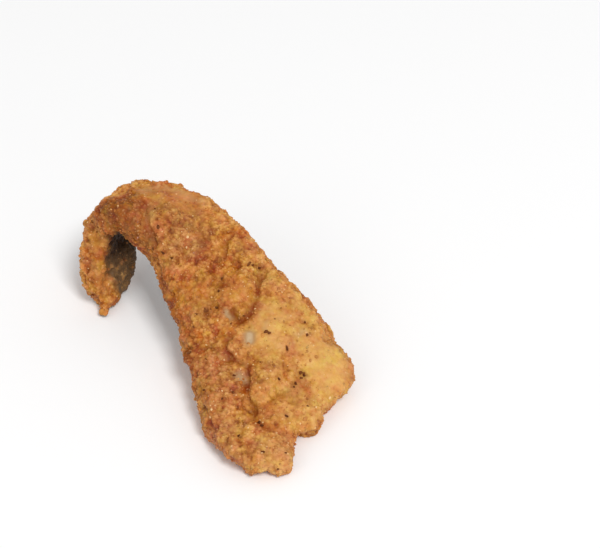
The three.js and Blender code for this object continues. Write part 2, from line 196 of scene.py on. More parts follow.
# Patches that differ from the rest: how calm, that is smooth, how yellow, brown, rusty and floury
# each is, and how far it stands out or sinks, in millimetres. Some brown and rusty patches are
# painted shade, and the floury mark is partly painted highlight on lit edges.
PATCHES = {
    "pale patch": spot(12, (268, 334), calm=0.95, yellow=0.8, rise=0.4),
    "pale patch top": spot(9, (269, 315), (285, 312), calm=0.8, yellow=0.75),
    "pale bridge": spot(5, (289, 348), (300, 360), calm=0.6, yellow=0.7),
    "far shoulder": spot(8, (268, 280), (281, 297), calm=0.25, yellow=0.55),
    "pale patch side": spot(6, (300, 333), calm=0.8, yellow=0.85),
    "right lobe": spot(13.5, (320, 362), (330, 372), calm=0.85, yellow=0.85, rise=0.9),
    "right lobe top": spot(8, (306, 344), (316, 351), calm=0.9, yellow=0.85),
    "right lobe shade": spot(4.2, (294, 394), (303, 388), (306, 396), brown=0.55),
    "right lobe foot": spot(8, (326, 392), calm=0.5, yellow=0.75),
    "mid lump": spot(6.5, (265, 393), calm=0.45, yellow=0.35, rise=1.4),
    "mid lump top": spot(6, (271, 365), (272, 374), calm=0.3, yellow=0.55, rise=0.7),
    "upper lobe": spot(9, (238, 290), calm=0.6, yellow=0.15, rise=1.2),
    "small lump": spot(4, (235, 346), calm=0.2, yellow=0.2, rise=1.2),
    "curl lobe": spot(7, (247, 246), calm=0.3, yellow=0.1, floury=1, rise=0.8),
    "upper far side": spot(8, (196, 223), (213, 209), calm=0.2, yellow=0.25),
    "fold lobe": spot(5, (158, 214), calm=0.2, rise=1.4),
    "lower right": spot(9, (285, 412), (304, 416), calm=0.5, yellow=0.5, rise=0.6),
    "lower right rim": spot(6, (314, 412), (322, 402), calm=0.4, yellow=0.9),
    "mid right": spot(7, (284, 386), (292, 396), calm=0.4, yellow=0.45),
    "front flap": spot(9, (276, 453), calm=0.4, yellow=0.5, rise=0.8),
    "left shoulder": spot(10, (188, 296), (210, 293), calm=0.5, brown=0.2),
    "lower shoulder": spot(4.5, (188, 320), (204, 320), yellow=0.3),
    "peppered side": spot(5, (198, 308), (221, 314), brown=0.4),
    "lower left lump": spot(8, (222, 385), calm=0.1, rise=0.6),
    "lower left": spot(8, (205, 385), (216, 400), brown=0.25),
    "branch lump": spot(4, (229, 428), yellow=0.4),
    "tail corner": spot(4, (92, 280), (93, 288), brown=0.4, rise=0.5),
    "tail foot": spot(4, (101, 293), yellow=0.35),
    "tail strip": spot(5, (99, 240), (99, 262), (102, 280), calm=0.7, yellow=0.2, brown=0.15),
    # Ridge top, tail root and ridge outside: brown as painted shade on the surface that turns up
    # and away from the light.
    "ridge top": spot(13, (118, 212), calm=0.3, brown=1),
    "tail root": spot(6, (130, 227), calm=0.3, brown=1),
    "ridge outside": spot(6, (100, 212), brown=0.5),
    "ridge back": spot(9, (150, 192), (185, 196), calm=0.95, yellow=0.1),
    "far rim high": spot(6, (299, 306), (310, 316), calm=0.5, yellow=0.85),
    "far rim": spot(5, (323, 331), calm=0.5, yellow=0.6),
    # Near edge: brown as painted shade along the rim, where it turns away from the light.
    "near edge": spot(
        6, (147, 252), (157, 272), (166, 296), (175, 318), (182, 340), brown=0.6, sink=1.2),
    "ridge rim": spot(
        8, (124, 189), (140, 184), (156, 183), (168, 183), (180, 188), sink=2.2),
    "far notch high": spot(5, (305, 302), sink=1.6),
    "far notch low": spot(5, (331, 336), sink=1.6),
    "far notch": spot(5, (247, 238), sink=1.4),
    "foot notch": spot(2.8, (261, 469), sink=1.8),
    "flap notch": spot(2.6, (299, 434), sink=1.4),
    "tail neck": spot(2.6, (106, 308), (105, 304), rise=1.6, calm=0.3),
    "tail tip": spot(2, (103, 313), sink=0.8, calm=0.5),
    "first edge knob": spot(2.8, (168, 300), rise=2.2),
    "second edge knob": spot(2.8, (174, 314), rise=2.2),
    "third edge knob": spot(3.6, (189, 358), rise=2.6),
    "fourth edge knob": spot(2.8, (196, 383), rise=2),
    "fifth edge knob": spot(2.8, (200, 402), rise=1.8),
    "tail point side": spot(3, (113, 298), (117, 295), rise=1.4),
    "tail inner bulge": spot(6.5, (129, 252), (128, 262), rise=2.2),
    "tail inner corner": spot(4.5, (127, 287), sink=1.4),
    # Near edge low, tail rim and tail side high: brown as painted shade on rims that turn away from
    # the light.
    "near edge low": spot(6, (186, 352), (192, 368), (198, 392), brown=0.5),
    "tail rim": spot(3.5, (88, 225), (86, 245), (88, 265), (92, 280), brown=0.3),
    "tail side high": spot(4.5, (91, 229), (91, 249), brown=0.5),
    # Fold underside and tail top rim: brown as painted shade under the fold and on the ridge's
    # outer top.
    "fold underside": spot(6, (132, 239), (144, 239), brown=0.95),
    "tail top rim": spot(6, (124, 194), (110, 202), (98, 214), brown=0.95),
    "right tip": spot(6, (344, 384), rise=1.6),
    "right rim": spot(4, (335, 345), (348, 362), (350, 378), brown=0.2),
    "foot side": spot(6, (220, 441), (234, 452), rise=1.6),
    "foot corner": spot(4, (289, 460), rise=1),
    "foot": spot(4.5, (270, 467), (286, 463), yellow=0.65, calm=0.2),
    "foot left": spot(4, (233, 451), (247, 464), yellow=0.15),
    "near shade": spot(6, (154, 246), (166, 260), brown=0.65),
    "upper middle": spot(6, (178, 240), (193, 251), brown=0.4),
    "near flank high": spot(9, (202, 375), brown=0.3),
    "near flank": spot(9, (208, 415), brown=0.4),
    "upper body": spot(12, (175, 225), brown=0.3),
    "upper flour": spot(14, (165, 215), (185, 240), floury=1.2),
    "lower flour": spot(12, (212, 365), (222, 395), (214, 425), floury=1.1),
    # Flank and foot: paler and less saturated, partly flour and partly painted highlight on the
    # front rim lit from the front and the floor.
    "flank flour and highlight": spot(7, (208, 425), (222, 444), (236, 458), brown=0.1, floury=1.4),
    "foot flour and highlight": spot(12, (262, 450), (276, 455), floury=1),
    # Brown and rust at the near edge: painted shade where the edge turns under.
    "edge shade": spot(2.6, (189, 352), (190, 357), brown=1, rust=0.8),
    # The rust of the cracks, valleys and seams below is partly painted shade in them.
    "crack side": spot(2, (257, 291), rust=0.4),
    "crack foot": spot(2.8, (257, 306), (250, 313), (243, 320), rust=0.8),
    "crack end": spot(2, (228, 307), (235, 314), rust=0.6),
    "valley": spot(3.2, (232, 359), rust=0.9),
    "valley left": spot(3, (221, 356), (225, 361), rust=0.6),
    "seam head": spot(2.2, (247, 371), rust=0.6),
    "seam middle": spot(2.4, (247, 386), rust=0.8),
    "seam foot": spot(2.4, (254, 413), rust=1),
    "branch": spot(1.8, (243, 424), rust=0.9),
    "flap side": spot(2.4, (268, 430), rust=0.5),
    "flap top": spot(4, (290, 441), yellow=0.5),
    "shoulder blotch": spot(2.6, (200, 243), rust=0.7),
    "lobe shade": spot(2.4, (221, 287), rust=0.7),
    "toasted side": spot(5, (208, 350), rust=0.45),
    "lower blush": spot(3.6, (207, 405), rust=0.5),
    # Paler, yellower edge of the fold lobe: a painted highlight where the lobe's edge catches the
    # light.
    "fold lobe highlight": spot(3, (149, 207), (149, 220), yellow=0.5, floury=1.2),
    "fold blush": spot(3, (154, 211), rust=0.7),
}

# Places where the coating is off, or so thin that the white flesh shows through it: how bare
# each is.
FLESH = {
    "left of the crack": spot(1.9, (226, 312), (230, 317), bare=0.8),
    "on the pale patch": spot(3, (249, 335), (250, 341), bare=1),
    "beside the seam": spot(2.8, (238, 376), (242, 380), bare=0.8),
    "pale patch side": spot(1.8, (303, 330), (299, 335), bare=0.5),
    "pale bridge": spot(1.8, (292, 342), (289, 348), bare=0.3),
    "pale patch top": spot(1.8, (265, 328), (266, 322), bare=0.4),
    # Ridge rim: a paler film, partly painted highlight along the lit rim.
    "ridge rim": spot(
        3.6, (140, 186), (158, 184), (176, 186), (190, 194), (202, 202), bare=0.4),
    # Foot side: a pale film, partly painted highlight on the front rim lit from the front and the
    # floor.
    "foot side": spot(3.5, (212, 432), (232, 454), (244, 463), bare=0.22),
}

# The side of the dark skin that shows inside the curled tail, from its top to its foot.
SKIN_EDGE = ((107, 240), (105, 252), (104, 264), (105, 274), (111, 285), (116, 297))

# How far a surface has to turn away from the camera to count as hidden, as a cosine.
HIDDEN_FROM = 0.35

# Flakes of ground pepper that show: across, down, and their size beside the common one.
PEPPER = (
    (205, 309, 1), (206, 311, 1.5), (210, 309, 1), (217, 308, 1.2), (196, 314, 0.8),
    (194, 327, 0.8), (231, 324, 0.8), (244, 316, 0.7), (266, 332, 1.6), (269, 333, 1.4),
    (307, 335, 1.6), (305, 322, 1.2), (287, 348, 1.3), (301, 373, 1.5), (304, 375, 1.6),
    (302, 378, 1.2), (296, 384, 1.3), (294, 387, 1), (279, 379, 1.2), (233, 393, 1.3),
    (222, 399, 1.2), (238, 407, 1), (204, 390, 1.3), (259, 423, 1.6), (262, 426, 1.4),
    (286, 416, 1.3), (308, 406, 1), (238, 436, 1.3), (263, 452, 1.5), (286, 453, 1.1),
    (278, 469, 1.2), (249, 264, 1.5), (252, 265, 1.4), (259, 268, 1.5), (155, 209, 1),
    (158, 227, 1.4), (163, 253, 1.2), (172, 258, 1.2), (153, 249, 1.2), (222, 279, 1.3),
    (219, 291, 1), (189, 353, 1.2), (234, 376, 1), (260, 362, 1), (206, 359, 0.9),
    (222, 280, 0.9), (275, 319, 0.7), (281, 308, 0.7),
)


def from_screen(red, green, blue):
    """A colour as a screen shows it, 0 to 255, as the linear colour that Blender works with."""
    shares = [value / 255 for value in (red, green, blue)]
    return [s / 12.92 if s <= 0.04045 else ((s + 0.055) / 1.055) ** 2.4 for s in shares]


class Wire:
    """A node socket. Arithmetic on it adds Math nodes to its tree."""

    def __init__(self, nodes, socket):
        self.nodes = nodes
        self.socket = socket

    def math(self, operation, *values, clamp=False):
        settings = {"operation": operation, "use_clamp": clamp}
        return self.nodes.add("ShaderNodeMath", settings, dict(enumerate(values)))

    def __add__(self, other):
        return self.math("ADD", self, other)

    def __sub__(self, other):
        return self.math("SUBTRACT", self, other)

    def __rsub__(self, other):
        return self.math("SUBTRACT", other, self)

    def __mul__(self, other):
        return self.math("MULTIPLY", self, other)

    def __rtruediv__(self, other):
        return self.math("DIVIDE", other, self)

    def __pow__(self, other):
        return self.math("POWER", self, other)

    __radd__ = __add__
    __rmul__ = __mul__

    def clamped(self):
        return self.math("ADD", self, 0.0, clamp=True)

    def between(self, low, high):
        """Goes smoothly from 0 at low to 1 at high. Low may be the larger one."""
        settings = {"interpolation_type": "SMOOTHSTEP"}
        if low > high:
            return 1.0 - self.between(high, low)
        return self.nodes.add("ShaderNodeMapRange", settings, {0: self, 1: low, 2: high})


class Nodes:
    """Adds nodes to a shader or Geometry Nodes tree."""

    def __init__(self, tree):
        self.tree = tree

    def add(self, kind, settings=None, inputs=None, output=0):
        """A node of that kind: its settings, then its inputs by name or number."""
        node = self.tree.nodes.new(kind)
        for name, value in (settings or {}).items():
            if name == "stops":
                self.set_stops(node.color_ramp, value)
            else:
                setattr(node, name, value)
        for name, value in (inputs or {}).items():
            if isinstance(value, Wire):
                self.tree.links.new(value.socket, node.inputs[name])
            else:
                node.inputs[name].default_value = value
        return Wire(self, node.outputs[output]) if node.outputs else None

    def set_stops(self, ramp, stops):
        while len(ramp.elements) < len(stops):
            ramp.elements.new(1.0)
        for element, (place, colour) in zip(ramp.elements, stops):
            element.position = place
            element.color = (*colour, 1.0)

    def mix(self, factor, first, second):
        """One colour or the other by the factor."""
        ends = [c if isinstance(c, Wire) else (*c, 1.0) for c in (first, second)]
        inputs = {0: factor, 6: ends[0], 7: ends[1]}
        return self.add("ShaderNodeMix", {"data_type": "RGBA"}, inputs, output=2)

    def channel(self, colour, number=0):
        return self.add("ShaderNodeSeparateColor", None, {0: colour}, number)

    def bump(self, height, strength, distance):
        inputs = {"Strength": strength, "Distance": distance, "Height": height}
        return self.add("ShaderNodeBump", None, inputs)

    def noise(self, place, width, detail=2.0, roughness=0.5, output=0):
        """Soft noise whose blotches are about that wide."""
        inputs = {"Vector": place, "Scale": 1 / width, "Detail": detail, "Roughness": roughness}
        return self.add("ShaderNodeTexNoise", None, inputs, output)

    def cells(self, place, width, output=0):
        """How far each place is from the nearest of scattered points that far apart, or with
        output 1 a colour for each point."""
        return self.add("ShaderNodeTexVoronoi", None, {"Vector": place, "Scale": 1 / width}, output)

    def domes(self, place, width, steepness=1.7):
        """1 at scattered points that far apart, falling to 0 between them."""
        return (1.0 - self.cells(place, width) ** 2 * steepness).clamped()

    def drift(self, place, width, detail=2.0):
        """A soft random vector, half a unit long at most in each direction."""
        return self.moved(self.noise(place, width, detail, output=1), (-0.5, -0.5, -0.5))

    def scaled(self, vector, factor):
        inputs = {0: vector, "Scale": factor}
        return self.add("ShaderNodeVectorMath", {"operation": "SCALE"}, inputs)

    def moved(self, vector, other):
        return self.add("ShaderNodeVectorMath", {"operation": "ADD"}, {0: vector, 1: other})

    def stored(self, name):
        """A value that is stored on the mesh, read by a material."""
        return self.add("ShaderNodeAttribute", {"attribute_name": name}, output=2)


class GeometryTree(Nodes):
    """A Geometry Nodes tree with named inputs, as {name: (socket type, default)}."""

    def __init__(self, name, inputs):
        super().__init__(bpy.data.node_groups.new(name, "GeometryNodeTree"))
        face = self.tree.interface
        face.new_socket("Geometry", in_out="INPUT", socket_type="NodeSocketGeometry")
        for label, (kind, default) in inputs.items():
            socket = face.new_socket(label, in_out="INPUT", socket_type=kind)
            if default is not None:
                socket.default_value = default
        face.new_socket("Geometry", in_out="OUTPUT", socket_type="NodeSocketGeometry")
        self.start = self.tree.nodes.new("NodeGroupInput")
        self.end = self.tree.nodes.new("NodeGroupOutput")

    def __getitem__(self, label):
        return Wire(self, self.start.outputs[label])

    def attribute(self, name):
        """A value that is stored on the mesh, read by Geometry Nodes."""
        return self.add("GeometryNodeInputNamedAttribute", {"data_type": "FLOAT"}, {"Name": name})

    def finish(self, geometry):
        self.tree.links.new(geometry.socket, self.end.inputs[0])
        return self.tree

    def store(self, geometry, name, value, kind="FLOAT", domain="POINT"):
        settings = {"data_type": kind, "domain": domain}
        inputs = {"Geometry": geometry, "Name": name, "Value": value}
        return self.add("GeometryNodeStoreNamedAttribute", settings, inputs)

    def place(self):
        return self.add("GeometryNodeInputPosition")

    def moved_points(self, geometry, offset):
        """The geometry with each point moved by the offset."""
        inputs = {"Geometry": geometry, "Offset": offset}
        return self.add("GeometryNodeSetPosition", None, inputs)

    def random(self, low, high, step):
        """A random number or vector for each point, drawn that many steps past the seed."""
        seed = self["Seed"] + step if step else self["Seed"]
        if isinstance(low, tuple):
            kind, inputs, output = "FLOAT_VECTOR", {0: low, 1: high, "Seed": seed}, 0
        else:
            kind, inputs, output = "FLOAT", {2: low, 3: high, "Seed": seed}, 1
        return self.add("FunctionNodeRandomValue", {"data_type": kind}, inputs, output)

    def balls(self, points, detail, flattest, fullest, size, step):
        """A ball on each point, squashed and turned at random."""
        sphere = {"Radius": 1.0, "Subdivisions": detail}
        squash = self.random(flattest, fullest, step)
        return self.add("GeometryNodeInstanceOnPoints", None, {
            "Points": points,
            "Instance": self.add("GeometryNodeMeshIcoSphere", None, sphere),
            "Rotation": self.random((0.0,) * 3, (math.tau,) * 3, step + 1),
            "Scale": self.scaled(squash, size),
        })

    def finish_balls(self, balls, dent_width, dent_depth):
        """Dents the balls, by a depth beside their size, and gives them their material."""
        balls = self.add("GeometryNodeRealizeInstances", None, {"Geometry": balls})
        dents = self.drift(self.place(), dent_width, 0.0)
        balls = self.moved_points(balls, self.scaled(dents, self["Size"] * dent_depth))
        inputs = {"Geometry": balls, "Material": self["Material"]}
        return self.finish(self.add("GeometryNodeSetMaterial", None, inputs))


def run_tree(source, tree, values, name):
    """The plain mesh object that a Geometry Nodes tree makes out of the source object."""
    modifier = source.modifiers.new(tree.name, "NODES")
    modifier.node_group = tree
    sockets = [item for item in tree.interface.items_tree if item.in_out == "INPUT"]
    for socket in sockets:
        if socket.name in values:
            modifier[socket.identifier] = values[socket.name]
    piece = plain_copy(source, name)
    source.modifiers.remove(modifier)
    return piece


def add_object(name, data):
    made = bpy.data.objects.new(name, data)
    bpy.context.scene.collection.objects.link(made)
    return made


def plain_copy(source, name):
    """A new object whose mesh is the source's, with its modifiers applied."""
    graph = bpy.context.evaluated_depsgraph_get()
    shown = source.evaluated_get(graph)
    mesh = bpy.data.meshes.new_from_object(shown, preserve_all_data_layers=True, depsgraph=graph)
    mesh.name = name
    return add_object(name, mesh)


def corners_of(mesh):
    flat = np.empty(len(mesh.vertices) * 3, np.float32)
    mesh.vertices.foreach_get("co", flat)
    return flat.reshape(-1, 3).astype(float)


def normals_of(mesh):
    flat = np.empty(len(mesh.vertices) * 3, np.float32)
    mesh.vertex_normals.foreach_get("vector", flat)
    return flat.reshape(-1, 3).astype(float)


def ramp(values, low, high):
    """Goes evenly from 0 at low to 1 at high. Low may be the larger one."""
    return np.clip((values - low) / (high - low), 0, 1)


def store_value(mesh, name, values):
    layer = mesh.attributes.get(name) or mesh.attributes.new(name, "FLOAT", "POINT")
    layer.data.foreach_set("value", np.asarray(values, np.float32))


def bell(distance, radius, sharpness=2):
    """1 at no distance, and 0 well outside the radius."""
    return np.exp(-((distance / radius) ** sharpness))


def distance_to_line(points, line):
    """How far each point is from a line through the given corners, or from a single one."""
    nearest = np.linalg.norm(points - line[0], axis=1)
    for start, end in zip(line[:-1], line[1:]):
        along = end - start
        share = np.clip((points - start) @ along / (along @ along), 0, 1)
        gaps = np.linalg.norm(points - start - share[:, None] * along, axis=1)
        nearest = np.minimum(nearest, gaps)
    return nearest


class Sight:
    """Carries points of the photograph to the crust along the camera's lines of sight."""

    def __init__(self, stage, piece):
        self.eye, self.turn = camera_place(stage)
        self.across = np.array(self.turn @ Vector((1, 0, 0)))
        self.away = np.cross((0, 0, 1), self.across)
        self.focal = stage.lens / stage.sensor * PICTURE[0]
        graph = bpy.context.evaluated_depsgraph_get()
        self.surface = BVHTree.FromObject(piece, graph)

    def hit(self, at):
        """The place on the surface at a point of the photograph."""
        across = (at[0] - PICTURE[0] / 2) / self.focal
        down = (at[1] - PICTURE[1] / 2) / self.focal
        ray = self.turn @ Vector((across, -down, -1)).normalized()
        place, *_ = self.surface.ray_cast(self.eye, ray)
        if place is None:
            raise RuntimeError(f"the line of sight through {at} misses the fillet")
        return np.array(place)


def view_from(azimuth, elevation):
    """The direction towards a camera or a light, and the turn that looks back along it."""
    back = Vector((
        math.sin(azimuth) * math.cos(elevation),
        -math.cos(azimuth) * math.cos(elevation),
        math.sin(elevation),
    ))
    return back, (-back).to_track_quat("-Z", "Y")


def camera_place(stage):
    """Where the camera stands, and its turn."""
    back, turn = view_from(stage.azimuth, stage.elevation)
    return Vector(stage.aim) + back * stage.distance, turn


def put(thing, place, turn):
    thing.location = place
    thing.rotation_mode = "QUATERNION"
    thing.rotation_quaternion = turn


class CrustSettings(bpy.types.PropertyGroup):
    """Sizes and colours of the fried coating."""

    mesh_step: FloatProperty(
        name="Mesh Step", description="Width of the crust's faces",
        default=0.62 * MM, min=0.3 * MM, subtype="DISTANCE", unit="LENGTH")
    clump_width: FloatProperty(
        name="Clump Width", description="How far apart the large clumps of coating are",
        default=6.5 * MM, subtype="DISTANCE", unit="LENGTH")
    clump_height: FloatProperty(
        name="Clump Height", description="How far the large clumps stand out",
        default=1.2 * MM, subtype="DISTANCE", unit="LENGTH")
    knob_width: FloatProperty(
        name="Knob Width", description="How far apart the knobs on the clumps are",
        default=3.0 * MM, subtype="DISTANCE", unit="LENGTH")
    knob_height: FloatProperty(
        name="Knob Height", description="How far the knobs stand out",
        default=0.8 * MM, subtype="DISTANCE", unit="LENGTH")
    granule_width: FloatProperty(
        name="Granule Width", description="How far apart the granules of the coating are",
        default=1.8 * MM, subtype="DISTANCE", unit="LENGTH")
    granule_height: FloatProperty(
        name="Granule Height", description="How far the granules stand out",
        default=0.5 * MM, subtype="DISTANCE", unit="LENGTH")
    pit_depth: FloatProperty(
        name="Pit Depth", description="How deep the pits between the clumps are",
        default=0.6 * MM, subtype="DISTANCE", unit="LENGTH")
    flesh_depth: FloatProperty(
        name="Flesh Depth", description="How far the bare flesh lies below the coating",
        default=0.4 * MM, subtype="DISTANCE", unit="LENGTH")
    # Straw on the tops and rust in the valleys follow the relief's height, so they are partly
    # painted highlight and painted shade. Toasted lies low on the clumps and is partly painted
    # shade too.
    straw: FloatVectorProperty(
        name="Straw", description="Colour of the tops of the clumps",
        default=from_screen(222, 158, 88), size=3, min=0, max=1, subtype="COLOR")
    golden: FloatVectorProperty(
        name="Golden", description="Colour of most of the coating",
        default=from_screen(194, 122, 52), size=3, min=0, max=1, subtype="COLOR")
    toasted: FloatVectorProperty(
        name="Toasted", description="Colour of the coating where it fried longer",
        default=from_screen(168, 95, 31), size=3, min=0, max=1, subtype="COLOR")
    rust: FloatVectorProperty(
        name="Rust", description="Colour of the valleys between the clumps",
        default=from_screen(134, 61, 12), size=3, min=0, max=1, subtype="COLOR")
    yellow: FloatVectorProperty(
        name="Yellow", description="Colour of the smooth patches",
        default=from_screen(222, 176, 99), size=3, min=0, max=1, subtype="COLOR")
    # Brown stands partly for painted shade: on the ridge, the tail's root, the near rim and under
    # the fold.
    brown: FloatVectorProperty(
        name="Brown", description="Colour of the ridge and the valleys",
        default=from_screen(124, 64, 20), size=3, min=0, max=1, subtype="COLOR")
    # Dark is partly the skin's own colour and partly painted shade inside the tail and under the
    # arch.
    dark: FloatVectorProperty(
        name="Dark", description="Colour of the cracks and of the skin inside the tail",
        default=from_screen(46, 23, 7), size=3, min=0, max=1, subtype="COLOR")
    hide: FloatVectorProperty(
        name="Hide", description="Colour of the thin coating on the skin, low in the tail",
        default=from_screen(133, 100, 64), size=3, min=0, max=1, subtype="COLOR")
    flesh: FloatVectorProperty(
        name="Flesh", description="Colour of the bare fish",
        default=from_screen(190, 160, 122), size=3, min=0, max=1, subtype="COLOR")
    shaded_flesh: FloatVectorProperty(
        name="Shaded Flesh", description="Colour of the fish under a film of coating",
        default=from_screen(174, 138, 97), size=3, min=0, max=1, subtype="COLOR")


class GritSettings(bpy.types.PropertyGroup):
    """Sizes and counts of what sticks to the coating."""

    grit_size: FloatProperty(
        name="Grit Size", description="Half width of a common grain of cornmeal",
        default=0.65 * MM, subtype="DISTANCE", unit="LENGTH")
    grit_share: FloatProperty(
        name="Grit per Area", description="Grains of each colour for a square metre",
        default=300000.0, min=0)
    crumb_size: FloatProperty(
        name="Crumb Size", description="Half width of a browned crumb",
        default=0.95 * MM, subtype="DISTANCE", unit="LENGTH")
    crumb_share: FloatProperty(
        name="Crumbs per Area", description="Browned crumbs for a square metre",
        default=60000.0, min=0)
    pepper_size: FloatProperty(
        name="Pepper Size", description="Half width of a flake of pepper",
        default=0.85 * MM, subtype="DISTANCE", unit="LENGTH")
    pepper_count: IntProperty(
        name="Pepper Flakes", description="Flakes where the photograph doesn't show the surface",
        default=60, min=0)
    seed: IntProperty(name="Seed", description="Start of the random numbers", default=7)


class StageSettings(bpy.types.PropertyGroup):
    """The floor, the lights and the camera."""

    azimuth: FloatProperty(
        name="Azimuth", description="Turn of the camera round the fillet",
        default=math.radians(60), subtype="ANGLE", unit="ROTATION")
    elevation: FloatProperty(
        name="Elevation", description="Height of the camera above the horizon",
        default=math.radians(40), subtype="ANGLE", unit="ROTATION")
    distance: FloatProperty(
        name="Distance", description="From the camera to the point it looks at",
        default=0.7576, subtype="DISTANCE", unit="LENGTH")
    aim: FloatVectorProperty(
        name="Aim", description="The point that the camera looks at",
        default=(0.0143, 0.0332, 0.0445), size=3, subtype="TRANSLATION", unit="LENGTH")
    lens: FloatProperty(
        name="Lens", description="Focal length in millimetres", default=100.0)
    sensor: FloatProperty(
        name="Sensor", description="Width of the sensor in millimetres", default=36.0)
    floor_colour: FloatVectorProperty(
        name="Floor", description="Colour of the floor",
        default=(0.97, 0.97, 0.97), size=3, min=0, max=1, subtype="COLOR")
    floor_width: FloatProperty(
        name="Floor Width", description="Width of the floor",
        default=3.0, subtype="DISTANCE", unit="LENGTH")
    surround: FloatProperty(
        name="Surround", description="Strength of the light from all round", default=0.55)
    key_power: FloatProperty(
        name="Key Light", description="Power of the main light", default=90.0, unit="POWER")
    fill_power: FloatProperty(
        name="Fill Light", description="Power of the second light", default=12.0, unit="POWER")


def fine_form(crust):
    """The solid as a fine even mesh: merged, rounded and remeshed."""
    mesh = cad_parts[NODE].data.copy()
    work = bmesh.new()
    work.from_mesh(mesh)
    bmesh.ops.remove_doubles(work, verts=work.verts, dist=JOINED)
    work.to_mesh(mesh)
    work.free()
    mesh.materials.clear()
    rough = add_object("form", mesh)
    rounded = rough.modifiers.new("rounded", "SUBSURF")
    rounded.levels = rounded.render_levels = 1
    remesh = rough.modifiers.new("remesh", "REMESH")
    remesh.mode = "VOXEL"
    remesh.voxel_size = crust.mesh_step
    smooth = rough.modifiers.new("smooth", "SMOOTH")
    smooth.factor = 0.5
    smooth.iterations = 3
    form = plain_copy(rough, "crust form")
    bpy.data.objects.remove(rough)
    return form


def bend_outline(form, sight):
    """Bends parts of the form's outline across the picture or away from the camera."""
    points = corners_of(form.data)
    shift = np.zeros_like(points)
    for bend in BENDS.values():
        gaps = distance_to_line(points, np.array(bend["points"]) * MM)
        step = (sight.across * bend.get("across", 0) + sight.away * bend.get("away", 0)) * MM
        shift += bell(gaps, bend["width"])[:, None] * step
    form.data.vertices.foreach_set("co", (points + shift).astype(np.float32).ravel())
    form.data.update()


def mark_patches(form, sight):
    """Stores the marks of the crust at each vertex: how calm, yellow, brown, rusty, floury, seamed
    and bare it is, how far it stands out, and how deep it is cut. The floury and bare marks are
    partly painted highlight, and some brown, rusty and seamed marks are painted shade."""
    points = corners_of(form.data)
    noise.seed_set(WAVER_SEED)
    waver = np.array([noise.noise_vector(Vector(p) * WAVER_RATE) for p in points])
    waver = waver * WAVER * MM
    names = ("calm", "yellow", "brown", "rust", "floury", "rise", "sink", "seam", "cut", "bare")
    marks = {name: np.zeros(len(points)) for name in names}

    def gaps_to(places, share=1.0):
        """How far each vertex is from the places, by that share of the wavering."""
        line = np.array([sight.hit(at) for at in places])
        return distance_to_line(points + waver * share, line)

    def raise_to(name, values):
        np.maximum(marks[name], values, out=marks[name])

    for patch in PATCHES.values():
        inside = bell(gaps_to(patch["points"]), patch["width"], PATCH_SHARPNESS)
        for name in names:
            raise_to(name, patch.get(name, 0) * inside)
    for seam in SEAMS.values():
        gaps = gaps_to(seam["points"], share=0.4)
        inside = bell(gaps, seam["width"])
        raise_to("cut", inside * seam["depth"] * MM)
        raise_to("seam", inside * seam["rust"])
        raise_to("calm", bell(gaps, seam["width"] * 2) * SEAM_CALM)
    for flesh in FLESH.values():
        gaps = gaps_to(flesh["points"], share=0.3)
        raise_to("bare", bell(gaps, flesh["width"]) * flesh["bare"])
    for *at, size in PEPPER:
        raise_to("rust", bell(gaps_to([at]), size * MM) * PEPPER_RUST)
    marks["rise"] = (marks["rise"] - marks.pop("sink")) * MM
    for name, values in marks.items():
        store_value(form.data, name, values)


def mark_skin(form, sight):
    """Stores where the dark skin shows: inside the curled tail and under the arch. Its darkness is
    partly the skin's own colour and partly painted shade under the arch.
    """
    mesh = form.data
    points = corners_of(mesh)
    outward = normals_of(mesh)
    across = points @ TAIL_ACROSS
    edge = np.array(sorted((sight.hit(at) for at in SKIN_EDGE), key=lambda place: place[2]))
    limit = np.interp(points[:, 2], edge[:, 2], edge @ TAIL_ACROSS)
    along, height = points[:, 0], points[:, 2]
    inner = ramp(outward[:, 0], *INNER_TURN) * ramp(along, *TAIL_FADE)
    tail = ramp(across - limit, *SIDE_FADE) * inner * ramp(height, *FOOT_FADE)
    under = ramp(outward[:, 2], *UNDER_TURN) * ramp(along, *ARCH_FADE)
    store_value(mesh, "skin", np.maximum(tail * ramp(height, *TOP_FADE), under))


